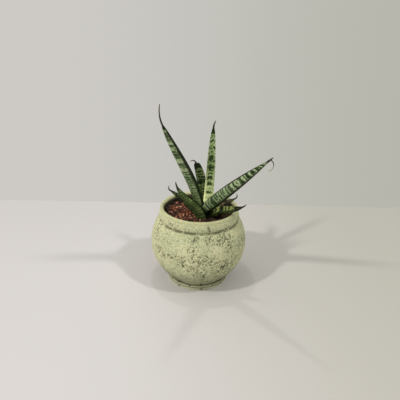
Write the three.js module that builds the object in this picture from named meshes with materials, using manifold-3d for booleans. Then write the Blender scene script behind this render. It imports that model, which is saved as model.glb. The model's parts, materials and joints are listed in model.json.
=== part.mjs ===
// Young sansevieria in a squat round pot: pot, soil, rootstock and eight leaves.
// Millimetres, +Z up. The origin is the centre of the flat base of the pot.
// The plant is seen from the front along +Y, with +X to the right.

import * as THREE from 'three';
import { mergeVertices } from 'three/addons/utils/BufferGeometryUtils.js';
import Module from 'manifold-3d';

const wasm = await Module();
wasm.setup();

// Driving dimensions

const GAP = 0.3;            // clearance between pieces that touch
const AROUND = 48;          // segments around the pot, the soil and the rootstock

const pot = {
  bodyRadius: 65,
  lowerHalfHeight: 62,      // the body follows half ellipses below
  upperHalfHeight: 64,      // and above its widest line
  bodyCentreHeight: 58,
  wall: 6.5,
  floorHeight: 10,
  shoulderHeight: 89,       // where the body ends at the groove
  grooveHeight: 91.8,
  grooveRadius: 53,
  grooveLip: 2,             // height over which the groove opens into the collar
  collarHeight: 97,
  collarRadius: 54.2,
  rimOuterRadius: 53,
  rimInnerRadius: 47.2,
  height: 108,
};

// The turned foot has one narrow groove half way up and a small bevel below.
const foot = {
  radius: 41.4,
  height: 7.4,
  upperSetback: 0.3,        // how much smaller the band above the groove is
  bevel: 0.8,
  grooveDepth: 0.8,
  grooveHalfWidth: 0.7,
};

const soil = {
  heightAtWall: 97.6,
  slopeReach: 6,            // the soil rises a little over this distance from the wall
  slopeRise: 0.8,
  heightAtCrown: 99.4,
  crownReach: 16,           // radius of the slight mound around the leaves
};

const crownHeight = 92;     // the leaves start here, on the rootstock

const rootstock = {
  centre: [6, -9],
  radius: 14,
  lowerRadius: 8.4,
  topHeight: crownHeight - GAP,
  depth: 15,
  bellyDepth: 9,            // how far below the top it is still nearly full width
  edge: 1.5,                // rounding of the top edge
};

const roots = {
  count: 6,
  firstAngle: 18,           // degrees
  sweep: 29,                // degrees that a root turns sideways on its way down
  spread: 30,
  spreadVariation: 0.25,
  drop: 52,
  dropVariation: 0.2,
  radius: 1.8,
  tipShare: 0.4,            // thickness left at the tip
};

// Each leaf leaves the crown at base (x, y). azimuth is the way it leans, in
// degrees from +X towards +Y. lean is its angle from upright at the base, half
// way and at the end of the green blade. width is the greatest width and neck is
// the part of it that the base loses. taper says how the leaf narrows: 1 is a
// slender point, and small values stay wide longer.
// roll turns the channelled inner face about the leaf's own line. dry is the
// withered point beyond the blade, and fibre says that a split thread hangs off it.
const leaves = [
  {
    name: 'leaf_upright', base: [8, -5], azimuth: 55, lean: [15, 4, 6], length: 124,
    width: 13.5, neck: 0.1, taper: 0.45, roll: 45, color: 0xa9b877,
    dry: { length: 9, lean: 65, turn: 0 },
  },
  {
    name: 'leaf_tall_left', base: [4, -8], azimuth: 233, lean: [12, 32, 30], length: 168,
    width: 18.5, neck: 0.4, taper: 0.55, roll: -15, color: 0x93a679,
    dry: { length: 23, lean: -14, turn: 0 },
  },
  {
    name: 'leaf_low_left', base: [2, -18], azimuth: 208, lean: [-5, 43, 19], length: 70,
    width: 17.5, neck: 0, taper: 0.7, roll: 15, color: 0x56633f,
    dry: { length: 5, lean: 3, turn: 0 },
  },
  {
    name: 'leaf_stout_right', base: [-3, -1], azimuth: -50, lean: [45, 47, 47], length: 167,
    width: 18.8, neck: 0.33, taper: 0.79, roll: -54, color: 0x7f9463,
    dry: { length: 7, lean: 42, turn: 0, fibre: true },
  },
  {
    name: 'leaf_back', base: [5, 2], azimuth: 119, lean: [-9, 18, 46], length: 75,
    width: 14.5, neck: 0.1, taper: 0.2, roll: 0, color: 0x4c5a38,
    dry: { length: 12, lean: 137, turn: 37 },
  },
  {
    name: 'leaf_low_right', base: [9, -13], azimuth: -24, lean: [23, 69, 53], length: 62,
    width: 16, neck: 0.1, taper: 0.7, roll: 15, color: 0x8b9a5e,
    dry: { length: 5, lean: 30, turn: 0 },
  },
  {
    name: 'leaf_low_left_rear', base: [0, -8], azimuth: 174, lean: [26, 47, 58], length: 56,
    width: 12, neck: 0.1, taper: 0.6, roll: 0, color: 0x4a5534,
    dry: { length: 7, lean: -43, turn: 0 },
  },
  {
    name: 'leaf_low_right_rear', base: [13, -8], azimuth: 13, lean: [23, 56, 68], length: 46,
    width: 13, neck: 0.1, taper: 0.6, roll: 0, color: 0x5c5a40,
    dry: { length: 8, lean: -39, turn: 0 },
  },
];

const leafShape = {
  sides: 12,
  bladeSteps: 14,
  drySteps: 4,
  buried: 8,                // length below the crown, cut off level afterwards
  outerDepth: 0.6,          // parts of the width: the rounded outer face,
  marginRise: 0.13,         // the raised margins,
  channelDepth: 0.22,       // the channel between them
  lift: 0.22,               // and how far the margins stand from the leaf's own line
  dryWidth: [2.4, 1.2],     // across the withered point, at its start and end
};

// The split fibre curls in a flat hook in front of the stout leaf's end.
const fibre = { radius: 6.4, squash: 0.88, from: 75, to: -92, thickness: 1.1, thinning: 0.35 };

// Solids and meshes

function toSolid(geometry) {
  const bare = geometry.clone();
  bare.deleteAttribute('normal');
  bare.deleteAttribute('uv');
  const merged = mergeVertices(bare, 1e-4);
  return new wasm.Manifold(new wasm.Mesh({
    numProp: 3,
    vertProperties: new Float32Array(merged.attributes.position.array),
    triVerts: new Uint32Array(merged.index.array),
  }));
}

function toGeometry(solid) {
  const mesh = solid.getMesh();
  const geometry = new THREE.BufferGeometry();
  geometry.setAttribute('position', new THREE.BufferAttribute(mesh.vertProperties, 3));
  geometry.setIndex(new THREE.BufferAttribute(mesh.triVerts, 1));
  geometry.computeVertexNormals();
  return geometry;
}

// A cut can leave crumbs: the piece is the largest body.
function largestBody(solid) {
  const bodies = solid.decompose();
  return bodies.reduce((best, body) => (body.volume() > best.volume() ? body : best));
}

// A solid of revolution about +Z, from [radius, height] pairs that go anticlockwise
function lathe(profile) {
  const points = profile.map(([radius, height]) => new THREE.Vector2(radius, height));
  const geometry = new THREE.LatheGeometry(points, AROUND);
  geometry.rotateX(Math.PI / 2);
  return geometry;
}

// A closed skin over rings of points, with a fan on the middle of each end ring
function skin(rings) {
  const sides = rings[0].length;
  const positions = rings.flat().flatMap((point) => point.toArray());
  const indices = [];
  for (let ring = 0; ring < rings.length - 1; ring++) {
    for (let side = 0; side < sides; side++) {
      const a = ring * sides + side;
      const b = ring * sides + (side + 1) % sides;
      indices.push(a, b, a + sides, b, b + sides, a + sides);
    }
  }
  for (const [ring, first] of [[rings[0], 0], [rings.at(-1), (rings.length - 1) * sides]]) {
    const middle = ring.reduce((sum, point) => sum.add(point), new THREE.Vector3());
    middle.divideScalar(sides);
    const apex = positions.length / 3;
    positions.push(...middle.toArray());
    for (let side = 0; side < sides; side++) {
      const a = first + side;
      const b = first + (side + 1) % sides;
      indices.push(...(first === 0 ? [apex, b, a] : [apex, a, b]));
    }
  }
  const geometry = new THREE.BufferGeometry();
  geometry.setAttribute('position', new THREE.Float32BufferAttribute(positions, 3));
  geometry.setIndex(indices);
  return geometry;
}

function roundTube(curve, steps, sides, radiusAt) {
  const frames = curve.computeFrenetFrames(steps);
  const rings = [];
  for (let step = 0; step <= steps; step++) {
    const centre = curve.getPointAt(step / steps);
    const radius = radiusAt(step / steps);
    const ring = [];
    for (let side = 0; side < sides; side++) {
      const angle = 2 * Math.PI * side / sides;
      ring.push(centre.clone()
        .addScaledVector(frames.normals[step], radius * Math.cos(angle))
        .addScaledVector(frames.binormals[step], radius * Math.sin(angle)));
    }
    rings.push(ring);
  }
  return skin(rings);
}

// Values from one number to another, both included
function spread(from, to, steps) {
  return Array.from({ length: steps + 1 }, (_, step) => from + (to - from) * step / steps);
}

// Pot

function outerRadius(height) {
  const rise = height - pot.bodyCentreHeight;
  const halfHeight = rise < 0 ? pot.lowerHalfHeight : pot.upperHalfHeight;
  return pot.bodyRadius * Math.sqrt(1 - (rise / halfHeight) ** 2);
}

function innerRadius(height) {
  const rise = height - pot.bodyCentreHeight;
  const halfHeight = (rise < 0 ? pot.lowerHalfHeight : pot.upperHalfHeight) - pot.wall;
  return (pot.bodyRadius - pot.wall) * Math.sqrt(1 - (rise / halfHeight) ** 2);
}

// The height where the rounded inner wall has narrowed to the straight throat
const throatShare = pot.rimInnerRadius / (pot.bodyRadius - pot.wall);
const throatRise = (pot.upperHalfHeight - pot.wall) * Math.sqrt(1 - throatShare ** 2);
const throatHeight = pot.bodyCentreHeight + throatRise;

const innerWall = spread(pot.floorHeight, throatHeight, 9).map((z) => [innerRadius(z), z]);

function potGeometry() {
  const grooveHeight = foot.height / 2;
  const upperRadius = foot.radius - foot.upperSetback;
  const lipRadius = (pot.rimOuterRadius - pot.rimInnerRadius) / 2;
  const lipCentre = pot.rimInnerRadius + lipRadius;
  const lip = spread(-20, 200, 8).map(THREE.MathUtils.degToRad);
  return lathe([
    [0, 0],
    [foot.radius - foot.bevel, 0],
    [foot.radius, foot.bevel],
    [foot.radius, grooveHeight - foot.grooveHalfWidth],
    [foot.radius - foot.grooveDepth, grooveHeight],
    [upperRadius, grooveHeight + foot.grooveHalfWidth],
    [upperRadius, foot.height - foot.bevel],
    ...spread(foot.height, pot.shoulderHeight, 12).map((z) => [outerRadius(z), z]),
    [pot.grooveRadius, pot.grooveHeight],
    [pot.collarRadius, pot.grooveHeight + pot.grooveLip],
    [pot.collarRadius, pot.collarHeight],
    ...lip.map((a) => [
      lipCentre + lipRadius * Math.cos(a),
      pot.height - lipRadius + lipRadius * Math.sin(a),
    ]),
    ...innerWall.toReversed(),
    [0, pot.floorHeight],
  ]);
}

// Soil, as it fills the pot before the plant is cut out of it

function soilSolid() {
  const throat = pot.rimInnerRadius - GAP;
  return toSolid(lathe([
    [0, pot.floorHeight + GAP],
    [innerRadius(pot.floorHeight) - GAP, pot.floorHeight + GAP],
    ...innerWall.slice(1).map(([radius, height]) => [radius - GAP, height]),
    [throat, soil.heightAtWall],
    [throat - soil.slopeReach, soil.heightAtWall + soil.slopeRise],
    [soil.crownReach, soil.heightAtCrown],
    [0, soil.heightAtCrown],
  ]));
}

// Rootstock: a short rhizome with fleshy roots that spread and go down

function rootCurve(index) {
  const { centre, topHeight, depth } = rootstock;
  const start = new THREE.Vector3(...centre, topHeight - depth / 2);
  const turn = THREE.MathUtils.degToRad(roots.firstAngle) + 2 * Math.PI * index / roots.count;
  const sweep = THREE.MathUtils.degToRad(roots.sweep);
  const reach = roots.spread * (1 - roots.spreadVariation * (1 - Math.cos(3 * index)));
  const drop = roots.drop * (1 - roots.dropVariation * (1 - Math.sin(2 * index)));
  const place = (outward, down) => start.clone().add(new THREE.Vector3(
    reach * outward * Math.cos(turn + sweep * down),
    reach * outward * Math.sin(turn + sweep * down),
    -drop * down,
  ));
  return new THREE.CatmullRomCurve3([start, place(0.55, 0.08), place(0.9, 0.4), place(1, 1)]);
}

function rootstockSolid(grow) {
  const { centre, edge, depth, bellyDepth } = rootstock;
  const top = rootstock.topHeight + grow;
  const bottom = rootstock.topHeight - depth - grow;
  const radius = rootstock.radius + grow;
  const stock = lathe([
    [0, bottom],
    [rootstock.lowerRadius + grow, bottom],
    [radius - edge / 2, top - bellyDepth],
    [radius, top - edge],
    [radius - edge, top],
    [0, top],
  ]);
  stock.translate(...centre, 0);
  let solid = toSolid(stock);
  const thickness = (t) => roots.radius * (1 - (1 - roots.tipShare) * t) + grow;
  for (let index = 0; index < roots.count; index++) {
    solid = solid.add(toSolid(roundTube(rootCurve(index), 8, 6, thickness)));
  }
  return solid;
}

// Leaves

// A smooth value that starts, passes half way and ends at the three given ones
function through(values, t) {
  const [start, middle, end] = values;
  return start * (1 - t) * (1 - 2 * t) + middle * 4 * t * (1 - t) + end * t * (2 * t - 1);
}

// Unit vectors at one place on a leaf: along it, across it and towards its inner face
function leafFrame(azimuth, lean, roll) {
  const [a, l, r] = [azimuth, lean, roll].map(THREE.MathUtils.degToRad);
  const along = new THREE.Vector3(Math.sin(l) * Math.cos(a), Math.sin(l) * Math.sin(a), Math.cos(l));
  const inward = new THREE.Vector3(-Math.cos(l) * Math.cos(a), -Math.cos(l) * Math.sin(a), Math.sin(l));
  inward.applyAxisAngle(along, r);
  return { along, inward, across: inward.clone().cross(along) };
}

function bladeWidth(leaf, t) {
  const blade = leaf.width * (1 - t * t) ** leaf.taper * (1 - leaf.neck * (1 - t) ** 3);
  return Math.max(leafShape.dryWidth[0], blade);
}

// The leaf's line from below the crown to the end of its dry point, step by step
function leafStations(leaf) {
  const { bladeSteps, drySteps, buried, dryWidth } = leafShape;
  const point = new THREE.Vector3(...leaf.base, crownHeight);
  const first = leafFrame(leaf.azimuth, leaf.lean[0], leaf.roll);
  const stations = [{
    point: point.clone().addScaledVector(first.along, -buried),
    width: bladeWidth(leaf, 0),
    ...first,
  }];
  const green = (t) => leafFrame(leaf.azimuth, through(leaf.lean, t), leaf.roll);
  stations.push({ point: point.clone(), width: bladeWidth(leaf, 0), ...first });
  for (let step = 1; step <= bladeSteps; step++) {
    point.addScaledVector(green((step - 0.5) / bladeSteps).along, leaf.length / bladeSteps);
    const t = step / bladeSteps;
    stations.push({ point: point.clone(), width: bladeWidth(leaf, t), ...green(t) });
  }
  const endLean = leaf.lean[2];
  const withered = (t) => leafFrame(
    leaf.azimuth + leaf.dry.turn * t,
    endLean + (leaf.dry.lean - endLean) * t,
    leaf.roll,
  );
  for (let step = 1; step <= drySteps; step++) {
    point.addScaledVector(withered((step - 0.5) / drySteps).along, leaf.dry.length / drySteps);
    const t = step / drySteps;
    const width = dryWidth[0] + (dryWidth[1] - dryWidth[0]) * t;
    stations.push({ point: point.clone(), width, ...withered(t) });
  }
  return stations;
}

// One ring of a leaf: rounded outside, channelled between two raised margins inside
function leafRing(station, grow) {
  const { sides, outerDepth, marginRise, channelDepth, lift } = leafShape;
  const width = station.width;
  const ring = [];
  for (let side = 0; side < sides; side++) {
    const angle = 2 * Math.PI * side / sides;
    const across = Math.cos(angle) * (width / 2 + grow);
    const sine = Math.sin(angle);
    const rise = sine < 0
      ? sine * (width * outerDepth + grow)
      : marginRise * width * Math.sqrt(sine) - channelDepth * width * sine * sine + grow * sine;
    ring.push(station.point.clone()
      .addScaledVector(station.across, across)
      .addScaledVector(station.inward, lift * width + rise));
  }
  return ring;
}

function fibreSolid(leaf) {
  const root = leafStations(leaf).at(-leafShape.drySteps).point;
  const start = THREE.MathUtils.degToRad(fibre.from);
  const points = spread(fibre.from, fibre.to, 10).map(THREE.MathUtils.degToRad).map(
    (angle) => new THREE.Vector3(
      root.x + fibre.radius * fibre.squash * (Math.cos(angle) - Math.cos(start)),
      root.y,
      root.z + fibre.radius * (Math.sin(angle) - Math.sin(start)),
    ),
  );
  const thickness = (t) => fibre.thickness * (1 - fibre.thinning * t) / 2;
  return toSolid(roundTube(new THREE.CatmullRomCurve3(points), 12, 6, thickness));
}

function leafSolid(leaf, grow) {
  const blade = toSolid(skin(leafStations(leaf).map((station) => leafRing(station, grow))));
  return leaf.dry.fibre ? blade.add(fibreSolid(leaf)) : blade;
}

// Each leaf is cut where an inner one already stands, so the outer bases clasp it.
function leafSolids() {
  const done = [];
  return leaves.map((leaf) => {
    let solid = leafSolid(leaf, 0).trimByPlane([0, 0, 1], crownHeight);
    for (const inner of done) {
      solid = solid.subtract(leafSolid(inner, GAP));
    }
    done.push(leaf);
    return largestBody(solid);
  });
}

function plantedSoilSolid() {
  let bed = soilSolid().subtract(rootstockSolid(GAP));
  for (const leaf of leaves) {
    bed = bed.subtract(leafSolid(leaf, GAP));
  }
  return largestBody(bed);
}

// Assembly

const group = new THREE.Group();

function addPiece(name, geometry, color, roughness) {
  const material = new THREE.MeshStandardMaterial({ color, roughness, metalness: 0 });
  const mesh = new THREE.Mesh(geometry, material);
  mesh.name = name;
  group.add(mesh);
}

addPiece('pot', potGeometry(), 0xc9c99b, 0.85);
addPiece('soil', toGeometry(plantedSoilSolid()), 0x6b3f2c, 0.95);
addPiece('rootstock', toGeometry(rootstockSolid(0)), 0xc48a4a, 0.7);
leafSolids().forEach((solid, index) => {
  addPiece(leaves[index].name, toGeometry(solid), leaves[index].color, 0.5);
});

export default group;
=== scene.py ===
# %% [markdown]
# # A young sansevieria in a round pot
#
# The imported CAD model already has every shape at its right size: a pot, its soil, a
# rootstock and eight leaves. This lesson gives them the surfaces that the real ones
# have, in the same place and at the same size.
#
# The frame is loaded first. Its pieces never move, so whatever is made later is put
# where they say.

# %% Load the frame
import json
import math

import bmesh
import bpy
import numpy as np
from mathutils import Matrix, Vector, noise

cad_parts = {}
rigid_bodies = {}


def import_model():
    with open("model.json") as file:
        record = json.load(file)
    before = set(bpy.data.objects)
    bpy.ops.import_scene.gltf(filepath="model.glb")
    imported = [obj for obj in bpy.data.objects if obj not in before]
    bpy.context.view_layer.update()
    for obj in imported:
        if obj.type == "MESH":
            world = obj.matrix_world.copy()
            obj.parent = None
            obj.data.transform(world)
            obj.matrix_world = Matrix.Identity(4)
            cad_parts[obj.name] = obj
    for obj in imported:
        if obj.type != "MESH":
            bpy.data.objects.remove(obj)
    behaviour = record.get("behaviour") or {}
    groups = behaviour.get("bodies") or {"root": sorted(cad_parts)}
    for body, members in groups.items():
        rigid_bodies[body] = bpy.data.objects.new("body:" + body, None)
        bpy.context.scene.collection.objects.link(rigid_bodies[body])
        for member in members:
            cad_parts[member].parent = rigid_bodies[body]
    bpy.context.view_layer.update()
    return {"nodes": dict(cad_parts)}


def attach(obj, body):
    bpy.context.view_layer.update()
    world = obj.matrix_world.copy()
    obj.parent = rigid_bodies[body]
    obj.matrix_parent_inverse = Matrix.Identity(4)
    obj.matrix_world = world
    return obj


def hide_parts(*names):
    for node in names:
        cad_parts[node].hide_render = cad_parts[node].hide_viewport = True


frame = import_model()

# %% [markdown]
# ## Units and colours
#
# The sizes below are in millimetres, as a potter or a grower would say them, and
# Blender works in metres. Colours are written as a screen shows them, from 0 to 255,
# and Blender's sockets hold linear light, so a small function turns one into the other.
# A second one puts a new object in the scene.

# %% Units and colours
MM = 0.001


def shade(red, green, blue):
    """A colour as a screen shows it, in the linear numbers of a socket."""
    def linear(value):
        part = value / 255
        return part / 12.92 if part <= 0.04045 else ((part + 0.055) / 1.055) ** 2.4

    return (linear(red), linear(green), linear(blue), 1.0)


def new_object(name, data):
    """An object in the scene, at the origin, with its place left to its mesh."""
    made = bpy.data.objects.new(name, data)
    bpy.context.scene.collection.objects.link(made)
    return made


print("mid grey in linear light:", round(shade(128, 128, 128)[0], 3))

# %% [markdown]
# ## Formulas that become nodes
#
# A material or a Geometry Nodes tree is a graph, and a formula in it takes a Math node
# for every sign. Placing those one by one hides the formula. Here an output socket is
# wrapped in a small class whose operators add the Math nodes, so that the script can
# say 1 - mask * depth. Every other node comes from one method, which sets the node's
# own settings first, because they decide which sockets it has.

# %% Wires and benches


class Wire:
    """An output socket that sums can be done with."""

    def __init__(self, bench, socket):
        self.bench = bench
        self.socket = socket

    def maths(self, operation, *values):
        inputs = dict(enumerate(values))
        return self.bench.add("ShaderNodeMath", {"operation": operation}, inputs)[0]

    def __add__(self, other):
        return self.maths("ADD", self, other)

    def __radd__(self, other):
        return self.maths("ADD", other, self)

    def __sub__(self, other):
        return self.maths("SUBTRACT", self, other)

    def __rsub__(self, other):
        return self.maths("SUBTRACT", other, self)

    def __mul__(self, other):
        return self.maths("MULTIPLY", self, other)

    def __rmul__(self, other):
        return self.maths("MULTIPLY", other, self)

    def __truediv__(self, other):
        return self.maths("DIVIDE", self, other)

    def __pow__(self, other):
        return self.maths("POWER", self, other)

    def size(self):
        return self.maths("ABSOLUTE", self)

    def fraction(self):
        return self.maths("FRACT", self)

    def or_more(self, other):
        return self.maths("MAXIMUM", self, other)

    def or_less(self, other):
        return self.maths("MINIMUM", self, other)

    def rise(self, start, end):
        """0 before start and 1 after end, with a soft step between them."""
        limits = {"Value": self, "From Min": start, "From Max": end}
        return self.bench.add("ShaderNodeMapRange", {"interpolation_type": "SMOOTHSTEP"}, limits)[0]


class Bench:
    """A node tree, and the one way in this file to put a node in it."""

    def __init__(self, tree):
        self.tree = tree

    def add(self, kind, settings=None, inputs=None):
        node = self.tree.nodes.new(kind)
        for name, value in (settings or {}).items():
            if name == "stops":
                self.set_stops(node.color_ramp, value)
            else:
                setattr(node, name, value)
        for key, value in (inputs or {}).items():
            self.feed(self.find(node.inputs, key), value)
        return Made(self, node)

    def set_stops(self, ramp, stops):
        first, *inner, last = stops
        for stop, (position, colour) in zip(ramp.elements, (first, last)):
            stop.position = position
            stop.color = colour
        for position, colour in inner:
            ramp.elements.new(position).color = colour

    def find(self, sockets, key):
        if isinstance(key, int):
            return sockets[key]
        return next(socket for socket in sockets if socket.name == key and socket.enabled)

    def feed(self, socket, value):
        if isinstance(value, Wire):
            self.tree.links.new(value.socket, socket)
        else:
            socket.default_value = value

    def split(self, vector):
        parts = self.add("ShaderNodeSeparateXYZ", {}, {0: vector})
        return parts[0], parts[1], parts[2]

    def join(self, x, y, z):
        return self.add("ShaderNodeCombineXYZ", {}, {0: x, 1: y, 2: z})[0]

    def scaled(self, vector, factor):
        return self.add("ShaderNodeVectorMath", {"operation": "SCALE"}, {0: vector, "Scale": factor})[0]

    def shifted(self, vector, other):
        return self.add("ShaderNodeVectorMath", {"operation": "ADD"}, {0: vector, 1: other})[0]

    def noise(self, place, scale, detail=2.0, roughness=0.5):
        inputs = {"Vector": place, "Scale": scale, "Detail": detail, "Roughness": roughness}
        return self.add("ShaderNodeTexNoise", {}, inputs)[0]

    def mix(self, share, first, second):
        inputs = {"Factor": share, "A": first, "B": second}
        return self.add("ShaderNodeMix", {"data_type": "RGBA"}, inputs)["Result"]

    def painted(self, colour, layers):
        """A colour with others laid over it, each given as a mask and a tint."""
        for mask, tint in layers:
            colour = self.mix(mask, colour, shade(*tint))
        return colour


class Made:
    """A node that was added. Its outputs are wires."""

    def __init__(self, bench, node):
        self.bench = bench
        self.node = node

    def __getitem__(self, key):
        return Wire(self.bench, self.bench.find(self.node.outputs, key))


def new_finish(name):
    """A material with only its shader, and the bench to build the rest on."""
    material = bpy.data.materials.new(name)
    material.use_nodes = True
    material.node_tree.nodes.clear()
    bench = Bench(material.node_tree)
    shader = bench.add("ShaderNodeBsdfPrincipled")
    bench.add("ShaderNodeOutputMaterial", {}, {"Surface": shader["BSDF"]})
    return material, bench, shader.node.inputs


def own_place(bench):
    """Where a point is on its piece, in millimetres."""
    return bench.scaled(bench.add("ShaderNodeTexCoord")["Object"], 1 / MM)


def surface(bench, sockets, colour, roughness, relief, strength, depth):
    """Colour, roughness and a bump, its depth in millimetres, for what the mesh can't hold."""
    bench.feed(sockets["Base Color"], colour)
    bench.feed(sockets["Roughness"], roughness)
    inputs = {"Height": relief, "Strength": strength, "Distance": depth * MM}
    bench.feed(sockets["Normal"], bench.add("ShaderNodeBump", {}, inputs)["Normal"])


print("benches ready")

# %% [markdown]
# ## Camera
#
# The camera stands 600 mm in front of the pot and 383 mm above the table, and looks
# down on it by 24 degrees. It leans a little to one side, as a camera held in the hand
# does. Three unit vectors say it all: forward, to the right and up. They are the
# columns of the camera's matrix, so no angle has to be converted.

# %% Camera
CAMERA_PLACE = Vector((0.8, -600, 383)) * MM
PITCH = math.radians(23.98)
LEAN = math.radians(1.47)
LENS = 44.1
SENSOR = 36

forward = Vector((0, math.cos(PITCH), -math.sin(PITCH)))
level = Vector((1, 0, 0))
upward = level.cross(forward)
right = math.cos(LEAN) * level + math.sin(LEAN) * upward
top = -math.sin(LEAN) * level + math.cos(LEAN) * upward

camera_data = bpy.data.cameras.new("camera")
camera_data.lens = LENS
camera_data.sensor_width = SENSOR
camera = new_object("camera", camera_data)
camera.matrix_world = Matrix((right, top, -forward)).transposed().to_4x4()
camera.location = CAMERA_PLACE
bpy.context.scene.camera = camera
print("camera at", [round(x, 3) for x in camera.location])

# %% [markdown]
# ## Table, backdrop and light
#
# Three lamps throw the three soft shadows: one nearly overhead, a high one from the right
# and one from the left front. Each lamp's strength stays the same over the distance, as
# from a large lamp far away, while its place still sets where the shadows fall. The rest
# of the light comes from the room, which is the world's colour: brightest far to the
# left, and darkest far to the right, where the pot shows its shaded side.

# %% Table, backdrop and light
LAMPS = {
    "lamp_overhead": {"place": (-62, 78, 598), "power": 3.3, "radius": 11, "tint": (255, 253, 250)},
    "lamp_right": {"place": (530, -382, 951), "power": 10.2, "radius": 42, "tint": (255, 252, 247)},
    "lamp_left": {"place": (-363, -340, 600), "power": 13.8, "radius": 22, "tint": (255, 250, 243)},
}


def add_lamp(name, look):
    data = bpy.data.lights.new(name, "POINT")
    data.energy = look["power"]
    data.shadow_soft_size = look["radius"] * MM
    data.color = shade(*look["tint"])[:3]
    data.use_nodes = True
    bench = Bench(data.node_tree)
    steady = bench.add("ShaderNodeLightFalloff", {}, {"Strength": 1.0})["Constant"]
    bench.feed(data.node_tree.nodes["Emission"].inputs["Strength"], steady)
    new_object(name, data).location = Vector(look["place"]) * MM


for lamp_name, lamp_look in LAMPS.items():
    add_lamp(lamp_name, lamp_look)

world = bpy.data.worlds.new("room")
bpy.context.scene.world = world
world.use_nodes = True
room = Bench(world.node_tree)
sideways = room.split(room.add("ShaderNodeTexCoord")["Generated"])[0]
room_colour = room.painted(shade(205, 202, 198), [
    (sideways.rise(-0.35, 0.45), (182, 182, 172)),
    (sideways.rise(-0.45, -0.8), (232, 228, 220)),
    (sideways.rise(0.5, 0.85), (118, 119, 110)),
])
room.feed(world.node_tree.nodes["Background"].inputs["Color"], room_colour)

TABLE_SIDE = 2.0
TABLE_BACK_LEFT = 0.217
TABLE_BACK_RIGHT = 0.272

table_mesh = bpy.data.meshes.new("table")
corners = [(-TABLE_SIDE, -TABLE_SIDE, 0), (TABLE_SIDE, -TABLE_SIDE, 0)]
corners += [(TABLE_SIDE, TABLE_BACK_RIGHT, 0), (-TABLE_SIDE, TABLE_BACK_LEFT, 0)]
table_mesh.from_pydata(corners, [], [(0, 1, 2, 3)])
new_object("table", table_mesh)

table_finish, bench, sockets = new_finish("table_paper")
sideways = bench.split(own_place(bench))[0]
# The paper is painted darker towards the right: painted shade, where less light falls.
table_colour = bench.mix(sideways.rise(-160, 300), shade(208, 206, 208), shade(188, 187, 181))
bench.feed(sockets["Base Color"], table_colour)
sockets["Roughness"].default_value = 0.7
table_mesh.materials.append(table_finish)

bpy.context.scene.view_settings.view_transform = "Standard"
print("lamps:", len(LAMPS))

# %% [markdown]
# ## One skin for all
#
# The pot, a leaf and a thread have one thing in common: each is a row of rings with a
# skin over them. A ring of the pot is a circle at some height, and a ring of a leaf is
# its section at some distance from the crown. One function lays the skin and closes
# both ends with a fan, so that the piece is a closed body with its faces outwards.

# %% One skin for all


def skin(name, rings):
    """A closed mesh object over rings of points in millimetres."""
    rings = np.array(rings, dtype=float)
    count, sides = rings.shape[:2]
    ends = np.array([rings[0].mean(axis=0), rings[-1].mean(axis=0)])
    points = np.concatenate([rings.reshape(-1, 3), ends]) * MM
    here = np.arange(sides)
    following = (here + 1) % sides
    faces = []
    for row in range(count - 1):
        low = row * sides
        high = low + sides
        quads = np.stack([low + here, low + following, high + following, high + here], axis=1)
        faces.extend(quads.tolist())
    first = count * sides
    last = (count - 1) * sides
    faces.extend([[first, following[i], here[i]] for i in range(sides)])
    faces.extend([[first + 1, last + here[i], last + following[i]] for i in range(sides)])
    mesh = bpy.data.meshes.new(name)
    mesh.from_pydata(points.tolist(), [], faces)
    mesh.validate()
    mesh.shade_smooth()
    return new_object(name, mesh)


def triangles(piece):
    return sum(len(polygon.vertices) - 2 for polygon in piece.data.polygons)


def plain(piece, modifier):
    """The piece as its modifier leaves it, as a plain mesh without the modifier."""
    graph = bpy.context.evaluated_depsgraph_get()
    made = bpy.data.meshes.new_from_object(piece.evaluated_get(graph), depsgraph=graph)
    piece.modifiers.remove(modifier)
    piece.data = made


def new_shaping(name, sizes):
    """A Geometry Nodes tree with a shape in, a shape out and named inputs."""
    tree = bpy.data.node_groups.new(name, "GeometryNodeTree")
    tree.interface.new_socket("Shape", in_out="INPUT", socket_type="NodeSocketGeometry")
    tree.interface.new_socket("Shape", in_out="OUTPUT", socket_type="NodeSocketGeometry")
    for label, kind in sizes:
        tree.interface.new_socket(label, in_out="INPUT", socket_type=kind)
    return tree, Bench(tree)


def hand_out(bench, shape, material):
    """The end of a tree: copies become real, the material is set and the shape goes out."""
    real = bench.add("GeometryNodeRealizeInstances", {}, {"Geometry": shape})
    finished = bench.add("GeometryNodeSetMaterial", {}, {"Geometry": real[0], "Material": material})
    bench.add("NodeGroupOutput", {}, {"Shape": finished[0]})


def shape_with(piece, tree, values):
    """The tree on the piece, with its named inputs set before it is first worked out."""
    modifier = piece.modifiers.new(tree.name, "NODES")
    modifier.node_group = tree
    for item in tree.interface.items_tree:
        if item.in_out == "INPUT" and item.name in values:
            modifier[item.identifier] = values[item.name]
    return modifier


print("skin ready")

# %% [markdown]
# ## The pot's profile
#
# The pot was thrown on a wheel, so a profile turned about its axis gives it: a stepped
# foot, a full round body, a hollow at the shoulder, a collar and a rounded lip. The
# body follows two half ellipses. The shoulder is drawn with a few points and a smooth
# line through them, because the real one flows from the body to the collar. Rings are
# close together where the clay shows and wide apart inside, under the soil.

# %% The pot's profile
BODY_RADIUS = 65
LOWER_HALF = 62
UPPER_HALF = 64
BODY_CENTRE = 58
WALL = 6.5
POT_FLOOR = 10
THROAT_RADIUS = 47.2
THROAT_END = 91
LIP_CENTRE = (50.1, 105.1)
LIP_RADIUS = 2.9
AROUND = 480
RING_STEP = 0.92


def body_radius(height, wall=0):
    half = (LOWER_HALF if height < BODY_CENTRE else UPPER_HALF) - wall
    return (BODY_RADIUS - wall) * math.sqrt(1 - ((height - BODY_CENTRE) / half) ** 2)


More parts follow.
